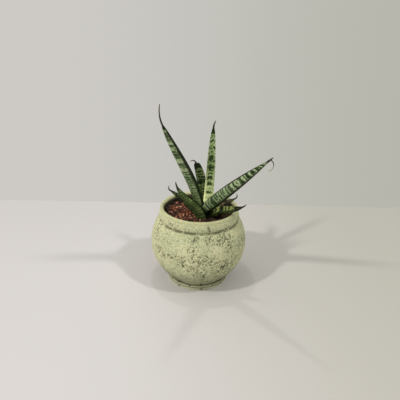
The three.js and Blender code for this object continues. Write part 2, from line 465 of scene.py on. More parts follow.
def smooth_line(points, pieces=8):
    """A line through the points without a corner at any of them."""
    points = [np.array(point, dtype=float) for point in points]
    ends = [2 * points[0] - points[1], *points, 2 * points[-1] - points[-2]]
    line = []
    for a, b, c, d in zip(ends, ends[1:], ends[2:], ends[3:]):
        for step in range(pieces):
            t = step / pieces
            line.append(0.5 * (2 * b + (c - a) * t + (2 * a - 5 * b + 4 * c - d) * t ** 2
                               + (3 * b - a - 3 * c + d) * t ** 3))
    return [*line, points[-1]]


def even_steps(line, step):
    """The same line with its points one step apart."""
    line = np.array(line)
    gone = np.concatenate([[0], np.cumsum(np.linalg.norm(np.diff(line, axis=0), axis=1))])
    marks = np.linspace(0, gone[-1], max(2, round(gone[-1] / step) + 1))
    return np.stack([np.interp(marks, gone, line[:, 0]), np.interp(marks, gone, line[:, 1])], axis=1)


foot_line = [(40.6, 0), (41.4, 0.7), (41.4, 2.9), (41.1, 3.2), (40.7, 3.6), (40.8, 4.1)]
foot_line += [(41.1, 4.5), (41.1, 6.5), (40.5, 7.2), (39.2, 7.6), (38.4, 8.2)]
body_line = [(body_radius(z), z) for z in np.linspace(9, 87, 90)]
shoulder_line = [(body_radius(87.8), 87.8), (55.9, 89.8), (54.3, 91.3), (53.5, 92.7)]
shoulder_line += [(53.6, 94.2), (54.1, 95.8), (54.2, 97.6), (53.9, 100), (53.4, 102.6)]
lip_angles = np.radians(np.linspace(-18, 195, 24))
lip_line = [(LIP_CENTRE[0] + LIP_RADIUS * math.cos(a), LIP_CENTRE[1] + LIP_RADIUS * math.sin(a))
            for a in lip_angles]
throat_line = [(THROAT_RADIUS, 103.6), (THROAT_RADIUS, 95)]
seen_line = foot_line + body_line + smooth_line(shoulder_line) + lip_line + throat_line
hidden_heights = np.linspace(91.9, POT_FLOOR, 12)
hidden_line = []
for z in hidden_heights:
    radius = body_radius(z, WALL)
    hidden_line.append((min(THROAT_RADIUS, radius) if z > THROAT_END else radius, z))
profile = [(20, 0), (36, 0), *even_steps(seen_line, RING_STEP), *hidden_line, (24, POT_FLOOR)]

turns = np.linspace(0, 2 * math.pi, AROUND, endpoint=False)
pot_rings = [[(r * math.cos(a), r * math.sin(a), z) for a in turns] for r, z in profile]
pot = skin("pot_clay", pot_rings)
print("pot rings:", len(profile), "triangles:", triangles(pot))

# %% [markdown]
# ## Rough clay
#
# The real surface is coarse clay with a thin pale wash over it: a few round pits, crumbs
# and lumps, thin winding creases, slanting scratches, and a shoulder hollow that was
# scraped unevenly. It is roughest in some patches, and the ones at the front have their
# own places. The lip was smoothed with a wet finger. Small notches go round the foot in
# three rows, each row half a step further on than the last.
#
# A bump in the material would leave the outline smooth, so Geometry Nodes push the
# points in or out. The depth is also stored on the mesh as hollow, below zero on the
# lumps, and the material reads the same number: it darkens the hollows, partly with the
# grey-brown clay and partly with painted shade, and lightens the lumps with a painted
# highlight.

# %% Rough clay
SHOULDER_HOLLOW = 92.4
NOTCH_TURN = 45
NOTCH_HALF = 1.5

FLOAT = "NodeSocketFloat"

clay_depths = ("Pit depth", "Crumble depth", "Scratch depth", "Notch depth", "Unevenness")
clay_sizes = [*((label, FLOAT) for label in clay_depths), ("Clay", "NodeSocketMaterial")]
clay_tree, clay = new_shaping("rough_clay", clay_sizes)
given = clay.add("NodeGroupInput")

place = clay.scaled(clay.add("GeometryNodeInputPosition")[0], 1 / MM)
x, y, z = clay.split(place)
out = (x * x + y * y) ** 0.5
inner = (1 - out.rise(48.4, 50.2)) * z.rise(20, 30)
smoothed = (1 - z.rise(101.3, 103.8)) * (1 - inner)
above_ground = z.rise(0.1, 1.2)

WANDER = 3.4
wander_inputs = {"Vector": place, "Scale": 0.35, "Detail": 2.0}
wander = clay.add("ShaderNodeTexNoise", {}, wander_inputs)["Color"]
wandering = clay.shifted(place, clay.scaled(wander, WANDER))
turn = clay.add("ShaderNodeMath", {"operation": "ARCTAN2"}, {0: x, 1: y * -1})[0] * (180 / math.pi)

# Each rough spot: its angle from the front in degrees, its height and its reach.
ROUGH_SPOTS = [(14, 87, 9), (1, 60, 9), (-6, 46, 10), (30, 45, 15), (9, 36, 11), (37, 70, 8), (28, 84, 9)]


def near(degrees, height, reach):
    """1 at one place on the outside of the pot, and 0 beyond its reach."""
    sideways = (turn - degrees) * math.radians(1) * BODY_RADIUS
    upwards = z - height
    return ((sideways * sideways + upwards * upwards) ** 0.5).rise(reach, reach * 0.35)


patches = clay.noise(place, 0.055, 2.0).rise(0.46, 0.66)
for spot in ROUGH_SPOTS:
    patches = patches.or_more(near(*spot))


def pits(size, low, high, scarce):
    """Round hollows, one in each cell that the pattern picks."""
    cells = clay.add("ShaderNodeTexVoronoi", {}, {"Vector": wandering, "Scale": 1 / size})
    chance = clay.split(cells["Color"])[0] + patches * 0.35
    return (1 - cells["Distance"].rise(low, high)) * chance.rise(scarce, scarce + 0.1)


large_pits = pits(3.4, 0.16, 0.5, 0.95)
small_pits = pits(1.9, 0.16, 0.55, 0.9)
lumpy = clay.noise(wandering, 0.36, 4.0, 0.62)
crumbs = lumpy.rise(0.485, 0.33) * (0.32 + patches * 0.68)
lumps = lumpy.rise(0.52, 0.68) * (0.25 + patches * 0.75)
folded = (clay.noise(wandering, 0.3, 4.0, 0.68) - 0.5).size()
creases = folded.rise(0.034, 0.004) * clay.noise(place, 0.13, 2.0).rise(0.42, 0.56)
creases = creases * (0.4 + patches * 0.6)
slant = clay.join(x * 0.14, y * 0.14, (z - x * 0.75) * 0.6)
scratched = near(32, 30, 34).or_more(patches * 0.5)
scratches = clay.noise(slant, 1.0, 2.0).rise(0.45, 0.32) * (0.1 + scratched * 0.9)
shoulder = (z - SHOULDER_HOLLOW).size().rise(2.4, 0.2)
scraped = shoulder * clay.noise(place, 0.16, 3.0).rise(0.36, 0.6)


def notches(height, half_height, first):
    """A row of notches at one height, the first at that angle from the front."""
    from_nearest = ((turn - first) / NOTCH_TURN + 0.5).fraction() - 0.5
    sideways = from_nearest.size() * NOTCH_TURN
    in_turn = sideways.rise(NOTCH_HALF + 0.6, NOTCH_HALF - 0.3)
    return in_turn * (z - height).size().rise(half_height + 0.5, half_height)


foot_notches = notches(7.6, 0.7, 8).or_more(notches(5.5, 0.9, 30.5)).or_more(notches(1.7, 0.9, 8))
foot_notches = foot_notches * out.rise(35, 38)

pit_depth = given["Pit depth"]
crumble_depth = given["Crumble depth"]
rough = (large_pits * pit_depth).or_more(small_pits * pit_depth * 0.55)
rough = rough.or_more(crumbs * crumble_depth).or_more(scratches * given["Scratch depth"])
rough = rough.or_more(creases * crumble_depth * 0.85)
rough = rough.or_more(scraped * crumble_depth * 0.7) * (0.08 + smoothed * 0.92)
rough = rough * (0.25 + z.rise(7.5, 10) * 0.75)
depth = rough.or_more(foot_notches * given["Notch depth"])
raised = lumps * smoothed * z.rise(8, 12) * crumble_depth * 0.95
sunk = clay.noise(place, 0.03, 1.0) * given["Unevenness"] - raised

keep = {"Geometry": given["Shape"], "Name": "hollow", "Value": (depth - raised) / pit_depth}
stored = clay.add("GeometryNodeStoreNamedAttribute", {"data_type": "FLOAT", "domain": "POINT"}, keep)
normal = clay.add("GeometryNodeInputNormal")[0]
push = clay.scaled(normal, (depth + sunk) * above_ground * -MM)
pushed = clay.add("GeometryNodeSetPosition", {}, {"Geometry": stored[0], "Offset": push})
hand_out(clay, pushed[0], given["Clay"])
print("clay nodes:", len(clay_tree.nodes))

# %% [markdown]
# ## Pale wash over brown clay
#
# The wash is a pale yellow-green, with a painted highlight on the lumps. It has run off
# the high grains and out of the hollows, where the grey-brown clay shows, and painted
# shade darkens the hollows, notches, shoulder groove and foot lines further. Low on the
# body, towards the foot, it is darker and greyer, and it is thickest on the lip. The
# inside, above the soil, is stained dark olive, and painted shade darkens it towards
# the soil.
# The layers are listed from the bottom up, as a painter would lay them on. The noise
# here goes on finer than the mesh can, and the bump is made of it.

# %% Pale wash over brown clay
clay_finish, bench, sockets = new_finish("washed_clay")
place = own_place(bench)
x, y, z = bench.split(place)
out = (x * x + y * y) ** 0.5
hollow = bench.add("ShaderNodeAttribute", {"attribute_name": "hollow"})["Fac"]

broad = bench.noise(place, 0.045, 3.0)
grainy = bench.noise(place, 0.7, 4.0, 0.7)
fine = bench.noise(place, 2.1, 3.0, 0.7)
wash = bench.mix(broad.rise(0.35, 0.65), shade(229, 229, 183), shade(208, 215, 170))
wash = bench.mix(grainy.rise(0.5, 0.66) * 0.8, wash, shade(240, 240, 204))
bare_clay = bench.mix(broad.rise(0.4, 0.6), shade(128, 126, 94), shade(104, 103, 74))
colour = bench.mix(grainy.rise(0.5, 0.36) * 0.72, wash, bare_clay)
body_foot = z.rise(8.2, 9.6) * z.rise(44, 12)
groove = (z - 92.6).size().rise(2.6, 0.2) * broad.rise(0.3, 0.6) * 0.5
foot_lines = (z - 3.5).size().rise(0.8, 0.2).or_more((z - 7.1).size().rise(0.9, 0.2))
lip = z.rise(102.4, 104.6) * out.rise(47.6, 48.8)
colour = bench.painted(colour, [
    # A painted highlight on the lumps.
    ((hollow * -1).rise(0.03, 0.4) * 0.75, (244, 244, 206)),
    # Darker and greyer low on the body, towards the foot.
    (body_foot * (0.28 + fine.rise(0.3, 0.7) * 0.5), (106, 104, 82)),
    # Painted shade in the shoulder groove.
    (groove, (96, 94, 64)),
    # The hollows: grey-brown clay, then painted shade, darkest in the deep pits and notches.
    (hollow.rise(0.04, 0.45) * 0.72, (100, 100, 68)),
    (hollow.rise(0.45, 1.05) * 0.8, (58, 56, 38)),
    (z.rise(9.0, 7.0) * 0.4, (176, 176, 152)),
    # Painted shade in the lines between the rings of the foot.
    (foot_lines * 0.65, (70, 68, 48)),
    (lip * 0.75, (206, 208, 158)),
])
inside = (1 - out.rise(47.6, 49.2)) * (1 - z.rise(102.5, 106.0)) * z.rise(84, 90)
stain_and_shade = bench.mix(grainy.rise(0.4, 0.6), shade(92, 92, 58), shade(66, 66, 40))
# Painted shade darkens the inside towards the soil.
stain_and_shade = bench.mix(z.rise(103, 99.5) * 0.8, stain_and_shade, shade(34, 30, 22))
colour = bench.mix(inside, colour, stain_and_shade)
roughness = 0.86 - lip * 0.28 + hollow.or_more(0.0).or_less(1.0) * 0.08
surface(bench, sockets, colour, roughness, grainy * 0.6 + fine * 0.5, 1.0, 1.4)

clay_values = {"Pit depth": 1.1, "Crumble depth": 0.95, "Scratch depth": 1.05, "Notch depth": 1.3}
clay_values.update({"Unevenness": 0.7, "Clay": clay_finish})
plain(pot, shape_with(pot, clay_tree, clay_values))
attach(pot, "root")
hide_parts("pot")
print("pot triangles:", triangles(pot))

# %% [markdown]
# ## Soil of baked granules
#
# The soil is a heap of baked clay granules, 3 to 5 mm across, reddish brown with pinkish
# corners. The CAD solid stays under them as the shadowed ground between the grains.
# Geometry Nodes scatter the granules over a disc that follows the soil's top: a few
# angular shapes, each the hull of a few random points, are copied some five hundred
# times, so each has only some forty faces. Every copy gets its own size, turn, height
# and tone from a fixed seed.

# %% Shapes of a granule
GRANULE_SHAPES = 6
GRANULE_CORNERS = 22

picker = np.random.default_rng(11)
granule_shapes = bpy.data.collections.new("granule_shapes")
bpy.context.scene.collection.children.link(granule_shapes)


def granule_shape(name):
    """The hull of random points on a lumpy ball, one unit across."""
    points = picker.normal(size=(GRANULE_CORNERS, 3))
    points /= np.linalg.norm(points, axis=1)[:, None]
    points *= 0.5 * picker.uniform(0.82, 1.0, (GRANULE_CORNERS, 1))
    points *= picker.uniform((0.9, 0.75, 0.7), (1.1, 0.95, 0.9))
    shape = bmesh.new()
    for point in points:
        shape.verts.new(point)
    hull = bmesh.ops.convex_hull(shape, input=shape.verts)
    loose = [item for item in hull["geom_interior"] if isinstance(item, bmesh.types.BMVert)]
    bmesh.ops.delete(shape, geom=loose, context="VERTS")
    bmesh.ops.recalc_face_normals(shape, faces=shape.faces)
    mesh = bpy.data.meshes.new(name)
    shape.to_mesh(mesh)
    shape.free()
    mesh.shade_smooth()
    granule_shapes.objects.link(bpy.data.objects.new(name, mesh))
    return len(mesh.polygons)


print("faces of each granule:", [granule_shape(f"granule_{i}") for i in range(GRANULE_SHAPES)])

# %% [markdown]
# ## Scattering the granules
#
# The points are spread with a least distance between them, which is how grains that
# were tipped out come to lie. Most grains are larger than that distance, so that they
# lie against each other and little of the ground shows.

# %% Scattering the granules
BED_RADIUS = 45.6
BED_TOP = 99.4
BED_EDGE = 97.8

bed_profile = [(1, BED_TOP), (16, BED_TOP), (41, 98.4), (BED_RADIUS, BED_EDGE)]
bed_turns = turns[::10]
bed_points = [(r * math.cos(a) * MM, r * math.sin(a) * MM, z * MM) for r, z in bed_profile for a in bed_turns]
sides = len(bed_turns)
bed_faces = [tuple(range(sides))]
for row in range(len(bed_profile) - 1):
    for i in range(sides):
        j = (i + 1) % sides
        low = row * sides
        bed_faces.append((low + i, low + sides + i, low + sides + j, low + j))
bed_mesh = bpy.data.meshes.new("soil_granules")
bed_mesh.from_pydata(bed_points, [], bed_faces)
granules = new_object("soil_granules", bed_mesh)

heap_sizes = [(label, FLOAT) for label in ("Spacing", "Smallest", "Largest", "Height spread")]
heap_sizes += [("Seed", "NodeSocketInt"), ("Shapes", "NodeSocketCollection"), ("Grain", "NodeSocketMaterial")]
heap_tree, heap = new_shaping("granule_heap", heap_sizes)
given = heap.add("NodeGroupInput")


def random_number(kind, low, high, seed_step):
    inputs = {"Min": low, "Max": high, "Seed": given["Seed"] + seed_step}
    return heap.add("FunctionNodeRandomValue", {"data_type": kind}, inputs)["Value"]


MOST_PER_SQUARE_METRE = 2.0e6
FULL_TURN = 6.28

spots = heap.add("GeometryNodeDistributePointsOnFaces", {"distribute_method": "POISSON"}, {
    "Mesh": given["Shape"],
    "Distance Min": given["Spacing"],
    "Density Max": MOST_PER_SQUARE_METRE,
    "Seed": given["Seed"],
})
lift = heap.join(0.0, 0.0, random_number("FLOAT", given["Height spread"] * -1, given["Height spread"], 1))
lifted = heap.add("GeometryNodeSetPosition", {}, {"Geometry": spots["Points"], "Offset": lift})
shapes = heap.add("GeometryNodeCollectionInfo", {}, {
    "Collection": given["Shapes"],
    "Separate Children": True,
    "Reset Children": True,
})
copies = heap.add("GeometryNodeInstanceOnPoints", {}, {
    "Points": lifted[0],
    "Instance": shapes[0],
    "Pick Instance": True,
    "Instance Index": random_number("INT", 0, GRANULE_SHAPES - 1, 2),
    "Rotation": random_number("FLOAT_VECTOR", (0.0, 0.0, 0.0), (FULL_TURN, FULL_TURN, FULL_TURN), 3),
    "Scale": random_number("FLOAT", given["Smallest"], given["Largest"], 4),
})
keep = {"Geometry": copies[0], "Name": "tone", "Value": random_number("FLOAT", 0.0, 1.0, 5)}
toned = heap.add("GeometryNodeStoreNamedAttribute", {"data_type": "FLOAT", "domain": "INSTANCE"}, keep)
hand_out(heap, toned[0], given["Grain"])
print("heap nodes:", len(heap_tree.nodes))

# %% [markdown]
# ## Baked clay grains
#
# Each granule has one base tone, from dark red-brown to a dusty pinkish tan, and a
# powdery, pitted surface. Painted shade darkens the heap under the wall, at the front
# right and between the grains, where the rim and the leaves shade it. The ground under
# it is the same clay, painted much darker as the shade between the grains. It is the
# CAD solid of the soil, which only gets another material, as the rootstock does.

# %% Baked clay grains
grain_finish, bench, sockets = new_finish("baked_grain")
place = own_place(bench)
tone = bench.add("ShaderNodeAttribute", {"attribute_name": "tone"})["Fac"]
dusty = bench.noise(place, 0.55, 4.0, 0.65)
pores = bench.noise(place, 2.4, 3.0, 0.6)
colour = bench.add("ShaderNodeValToRGB", {"stops": [
    (0.0, shade(34, 16, 10)),
    (0.35, shade(92, 46, 28)),
    (0.65, shade(152, 88, 58)),
    (0.85, shade(204, 142, 106)),
    (1.0, shade(238, 192, 156)),
]}, {"Fac": tone})["Color"]
x, y, z = bench.split(place)
under_wall = ((x * x + y * y) ** 0.5).rise(35, 44)
front_right = x.rise(-2, 10) * y.rise(4, -10)
# Painted shade: under the wall, at the front right and low between the grains.
painted_soil_shade = under_wall.or_more(front_right).or_more(z.rise(100.2, 98.4))
colour = bench.painted(colour, [
    (dusty.rise(0.5, 0.7) * 0.5, (186, 132, 96)),
    (pores.rise(0.46, 0.34) * 0.6, (44, 22, 14)),
    (painted_soil_shade * 0.84, (26, 15, 10)),
])
surface(bench, sockets, colour, 0.92, dusty * 0.5 + pores * 0.5, 0.7, 0.6)

heap_values = {"Spacing": 3.0 * MM, "Smallest": 3.4 * MM, "Largest": 6.0 * MM, "Seed": 7}
heap_values.update({"Height spread": 1.5 * MM, "Shapes": granule_shapes, "Grain": grain_finish})
plain(granules, shape_with(granules, heap_tree, heap_values))
for shape in list(granule_shapes.objects):
    bpy.data.objects.remove(shape)
bpy.data.collections.remove(granule_shapes)
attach(granules, "root")
print("granule triangles:", triangles(granules))


def dress(name, finish):
    """A CAD piece that keeps its shape gets another material."""
    materials = frame["nodes"][name].data.materials
    materials.clear()
    materials.append(finish)


# The ground between the grains is painted very dark, as their shade.
ground_finish, bench, sockets = new_finish("ground_in_painted_shade")
place = own_place(bench)
crumbs = bench.noise(place, 0.5, 4.0, 0.6)
ground = bench.mix(crumbs.rise(0.35, 0.65), shade(26, 14, 10), shade(52, 28, 18))
surface(bench, sockets, ground, 0.95 - crumbs * 0.1, crumbs, 0.8, 1.0)
dress("soil", ground_finish)

# %% [markdown]
# ## Rootstock
#
# The rootstock and its roots are under the soil. They are orange-brown, with darker
# rings where old leaves stood and a corky skin. The CAD shape is right as it is, so it
# only gets its finish.

# %% Rootstock
RING_SPACING = 2.6

root_finish, bench, sockets = new_finish("rhizome")
place = own_place(bench)
height = bench.split(place)[2]
cork = bench.noise(place, 0.4, 4.0, 0.6)
rings = ((height + cork * 2.0) / RING_SPACING).fraction().rise(0.0, 0.3)
colour = bench.mix(cork.rise(0.35, 0.65), shade(178, 116, 58), shade(132, 78, 40))
colour = bench.mix((1 - rings) * 0.6, colour, shade(88, 52, 30))
surface(bench, sockets, colour, 0.7 + cork * 0.2, cork + rings * 0.4, 0.6, 0.8)
dress("rootstock", root_finish)
print("rootstock finished")

# %% [markdown]
# ## The form of a leaf
#
# A leaf of this young plant is stiff and fleshy: rounded outside, with a channel between
# two raised margins inside, and a withered point at its end. It leans out from the
# crown and bends on its way. The rule is the one that the CAD model follows, with the
# same numbers and finer steps. The sharper margins stand less than a millimetre outside
# the CAD leaf, and the fine turns of the hooked point of leaf_back up to 1.6 mm. At the
# crown, where each CAD leaf is cut back from the inner ones, the skins run through each
# other instead, out of sight.
#
# Each point of the skin remembers its place on the leaf: how far across it is, whether
# it is on the channelled or the rounded side, and how far from the crown in
# millimetres. The markings are drawn in those three numbers, so they follow the leaf.

# %% The form of a leaf
CROWN = 92
LEAF_SIDES = 44
LEAF_STEP = 1.25
DRY_STEP = 0.7
BURIED = 8
OUTER_DEPTH = 0.6
MARGIN_RISE = 0.13
CHANNEL_DEPTH = 0.22
LIFT = 0.22
DRY_WIDTH = (2.4, 1.2)


def through(values, t):
    """A smooth value that starts, passes half way and ends at the three given ones."""
    start, middle, end = values
    return start * (1 - t) * (1 - 2 * t) + middle * 4 * t * (1 - t) + end * t * (2 * t - 1)


def leaf_frame(azimuth, lean, roll):
    """Unit vectors along the leaf, across it and towards its inner face."""
    a = math.radians(azimuth)
    b = math.radians(lean)
    along = Vector((math.sin(b) * math.cos(a), math.sin(b) * math.sin(a), math.cos(b)))
    inward = Vector((-math.cos(b) * math.cos(a), -math.cos(b) * math.sin(a), math.sin(b)))
    inward = Matrix.Rotation(math.radians(roll), 3, along) @ inward
    return along, inward.cross(along), inward


def blade_width(leaf, t):
    width = leaf["width"] * (1 - t * t) ** leaf["taper"] * (1 - leaf["neck"] * (1 - t) ** 3)
    return max(DRY_WIDTH[0], width)


def leaf_stations(leaf):
    """Point, frame, width and distance from the crown, step by step along a leaf."""
    azimuth, roll, length = leaf["azimuth"], leaf["roll"], leaf["length"]
    dry_length, dry_lean, dry_turn = leaf["dry"]
    point = Vector((*leaf["base"], CROWN))
    first = leaf_frame(azimuth, leaf["lean"][0], roll)
    width = blade_width(leaf, 0)
    stations = [(point - BURIED * first[0], first, width, -BURIED), (point.copy(), first, width, 0)]
    steps = round(length / LEAF_STEP)
    marks = [0.5 * (i / steps + math.sin(math.pi / 2 * i / steps)) for i in range(steps + 1)]
    for before, t in zip(marks, marks[1:]):
        middle = leaf_frame(azimuth, through(leaf["lean"], (before + t) / 2), roll)
        point = point + middle[0] * (t - before) * length
        here = leaf_frame(azimuth, through(leaf["lean"], t), roll)
        stations.append((point.copy(), here, blade_width(leaf, t), t * length))

    def dry_frame(t):
        lean_end = leaf["lean"][2]
        return leaf_frame(azimuth + dry_turn * t, lean_end + (dry_lean - lean_end) * t, roll)

    steps = max(6, round(dry_length / DRY_STEP))
    for i in range(1, steps + 1):
        t = i / steps
        point = point + dry_frame((i - 0.5) / steps)[0] * dry_length / steps
        width = DRY_WIDTH[0] + (DRY_WIDTH[1] - DRY_WIDTH[0]) * t
        stations.append((point.copy(), dry_frame(t), width, length + t * dry_length))
    return stations


def leaf_ring(station, leaf):
    """One ring of the skin, and the place of each of its points on the leaf."""
    point, (along, across, inward), width, gone = station
    ring = []
    places = []
    withered = min(1, max(0, (gone - leaf["length"]) / 2))
    for side in range(LEAF_SIDES):
        angle = 2 * math.pi * side / LEAF_SIDES
        sideways = math.cos(angle) * width / 2
        sine = math.sin(angle)
        if sine < 0:
            rise = sine * width * OUTER_DEPTH
        else:
            rise = width * (MARGIN_RISE * math.sqrt(sine) - CHANNEL_DEPTH * sine * sine)
        wrinkle = noise.noise(Vector((2 * math.cos(angle), 2 * sine, gone * 0.9)) + 7 * point)
        shrink = 1 + wrinkle * (0.012 + 0.3 * withered)
        ring.append(point + across * sideways * shrink + inward * (LIFT * width + rise * shrink))
        places.append((math.cos(angle), sine, gone))
    return ring, places


print("sides of a ring:", LEAF_SIDES)

# %% [markdown]
# ## The eight leaves
#
# These are the CAD model's numbers: where each leaf leaves the crown, the way it leans,
# its angle from upright at the base, half way and at the end, its length and width, how
# much narrower it starts, how it narrows to its end, and how it is turned about its own
# length. Last come its withered point's length, its angle at the end and its turn.

# %% The eight leaves
LEAF_NUMBERS = ("base", "azimuth", "lean", "length", "width", "neck", "taper", "roll", "dry")
LEAF_ROWS = {
    "leaf_upright": ((8, -5), 55, (15, 4, 6), 124, 13.5, 0.1, 0.45, 45, (9, 65, 0)),
    "leaf_tall_left": ((4, -8), 233, (12, 32, 30), 168, 18.5, 0.4, 0.55, -15, (23, -14, 0)),
    "leaf_low_left": ((2, -18), 208, (-5, 43, 19), 70, 17.5, 0, 0.7, 15, (5, 3, 0)),
    "leaf_stout_right": ((-3, -1), -50, (45, 47, 47), 167, 18.8, 0.33, 0.79, -54, (7, 42, 0)),
    "leaf_back": ((5, 2), 119, (-9, 18, 46), 75, 14.5, 0.1, 0.2, 0, (12, 137, 37)),
    "leaf_low_right": ((9, -13), -24, (23, 69, 53), 62, 16, 0.1, 0.7, 15, (5, 30, 0)),
    "leaf_low_left_rear": ((0, -8), 174, (26, 47, 58), 56, 12, 0.1, 0.6, 0, (7, -43, 0)),
    "leaf_low_right_rear": ((13, -8), 13, (23, 56, 68), 46, 13, 0.1, 0.6, 0, (8, -39, 0)),
}
LEAVES = {name: dict(zip(LEAF_NUMBERS, row)) for name, row in LEAF_ROWS.items()}


def keep_places(mesh, places):
    """The place of each point on the leaf, as an attribute of the mesh."""
    attribute = mesh.attributes.new("leaf_place", "FLOAT_VECTOR", "POINT")
    attribute.data.foreach_set("vector", np.array(places, dtype=np.float32).ravel())


def grow_leaf(name, leaf):
    stations = leaf_stations(leaf)
    rings = []
    places = []
    for station in stations:
        ring, ring_places = leaf_ring(station, leaf)
        rings.append(ring)
        places.extend(ring_places)
    piece = skin(name + "_skin", rings)
    places.append((0.0, 0.0, stations[0][3]))
    places.append((0.0, 0.0, stations[-1][3]))
    keep_places(piece.data, places)
    return piece


def cut_level(piece):
    """The leaf cut off level on the rootstock, with the cut closed."""
    shape = bmesh.new()
    shape.from_mesh(piece.data)
    everything = [*shape.verts, *shape.edges, *shape.faces]
    bmesh.ops.bisect_plane(shape, geom=everything, plane_co=(0, 0, CROWN * MM),
                           plane_no=(0, 0, 1), clear_inner=True)
    edges = [edge for edge in shape.edges if edge.is_boundary]
    bmesh.ops.holes_fill(shape, edges=edges)
    shape.to_mesh(piece.data)
    shape.free()
    piece.data.shade_smooth()


leaf_pieces = {}
for leaf_name, leaf in LEAVES.items():
    leaf_pieces[leaf_name] = grow_leaf(leaf_name, leaf)
    cut_level(leaf_pieces[leaf_name])
print("leaf triangles:", {name: triangles(piece) for name, piece in leaf_pieces.items()})

# %% [markdown]
# ## The split fibre
#
# At the end of the stout leaf a fibre has split from the edge and dried into a hook. It
# is a thin tube along an arc, thinner towards its end, and it is joined to the leaf
# because it grew as part of it. Its places start far beyond the leaf's own, so that
# the finish can tell it from the blade.

# %% The split fibre
FIBRE_RADIUS = 6.4
FIBRE_SQUASH = 0.88
FIBRE_FROM = math.radians(75)
FIBRE_TO = math.radians(-92)
FIBRE_THICKNESS = 1.1
FIBRE_THINNING = 0.35
FIBRE_STEPS = 40
FIBRE_SIDES = 12
FIBRE_PLACE = 300

stout = LEAVES["leaf_stout_right"]
end_stations = [station for station in leaf_stations(stout) if station[3] > stout["length"]]
fibre_root = end_stations[2][0]
fibre_rings = []
fibre_places = []
for step in range(FIBRE_STEPS + 1):
    t = step / FIBRE_STEPS
    angle = FIBRE_FROM + (FIBRE_TO - FIBRE_FROM) * t
    centre = fibre_root + FIBRE_RADIUS * Vector((
        FIBRE_SQUASH * (math.cos(angle) - math.cos(FIBRE_FROM)), 0, math.sin(angle) - math.sin(FIBRE_FROM)))
    outward = Vector((math.cos(angle), 0, math.sin(angle)))
    thickness = FIBRE_THICKNESS * (1 - FIBRE_THINNING * t) / 2
    for side in range(FIBRE_SIDES):
        turn = 2 * math.pi * side / FIBRE_SIDES
        reach = outward * math.cos(turn) + Vector((0, 1, 0)) * math.sin(turn)
        uneven = 1 + 0.2 * noise.noise(Vector((math.cos(turn), math.sin(turn), 9 * t)))
        fibre_rings.append(centre + reach * thickness * uneven)
        fibre_places.append((math.cos(turn), math.sin(turn), FIBRE_PLACE + 100 * t))
fibre = skin("fibre", np.array(fibre_rings).reshape(FIBRE_STEPS + 1, FIBRE_SIDES, 3))
keep_places(fibre.data, [*fibre_places, (0, 0, FIBRE_PLACE), (0, 0, FIBRE_PLACE + 100)])


def join_pieces(main, other):
    """The other piece becomes part of the main one's mesh."""
    shape = bmesh.new()
    shape.from_mesh(main.data)
    shape.from_mesh(other.data)
    shape.to_mesh(main.data)
    shape.free()
    bpy.data.objects.remove(other)


join_pieces(leaf_pieces["leaf_stout_right"], fibre)
print("stout leaf with its fibre:", triangles(leaf_pieces["leaf_stout_right"]))

# %% [markdown]
# ## Markings of the leaves
#
# The markings run across the leaf: pale grey-green bars on dark green, bent and broken,
# with a few stronger dark bands. Two things make them. A pattern of cells in one
# direction, along the leaf, gives bars of uneven width; noise bends it as it goes round
# the leaf, so that no bar is straight. The strong marks are listed by their distance
# from the crown and half their width: bands go all the way round, spots only part of
# the way, and blocks are bright. A colour ramp turns each list into a mask.
#
# Over that come the dark flank of the leaf, partly its darker green and partly painted
# shade, its dark margins and point, and the pale young base. The upright leaf's base is
# given a faint painted glow and its lit edge a painted highlight, and the low right
# leaf is painted darker at the crown, as shade.

# %% Markings of the leaves
BLACK = (0, 0, 0, 1)
WHITE = (1, 1, 1, 1)
MARGIN_FROM = 0.972
MARGIN_STEP = 0.023


def band_chart(bands, length):
    """The stops of a ramp that is white at each band, given as place and half width."""
    stops = [(0.0, BLACK)]
    for place, half in sorted(bands):
        for offset, value in ((-1.5, BLACK), (0, WHITE), (1.5, BLACK)):
            position = (place + offset * half) / length
            stops.append((min(0.999, max(stops[-1][0] + 0.0005, position)), value))
    return [*stops, (1.0, BLACK)]


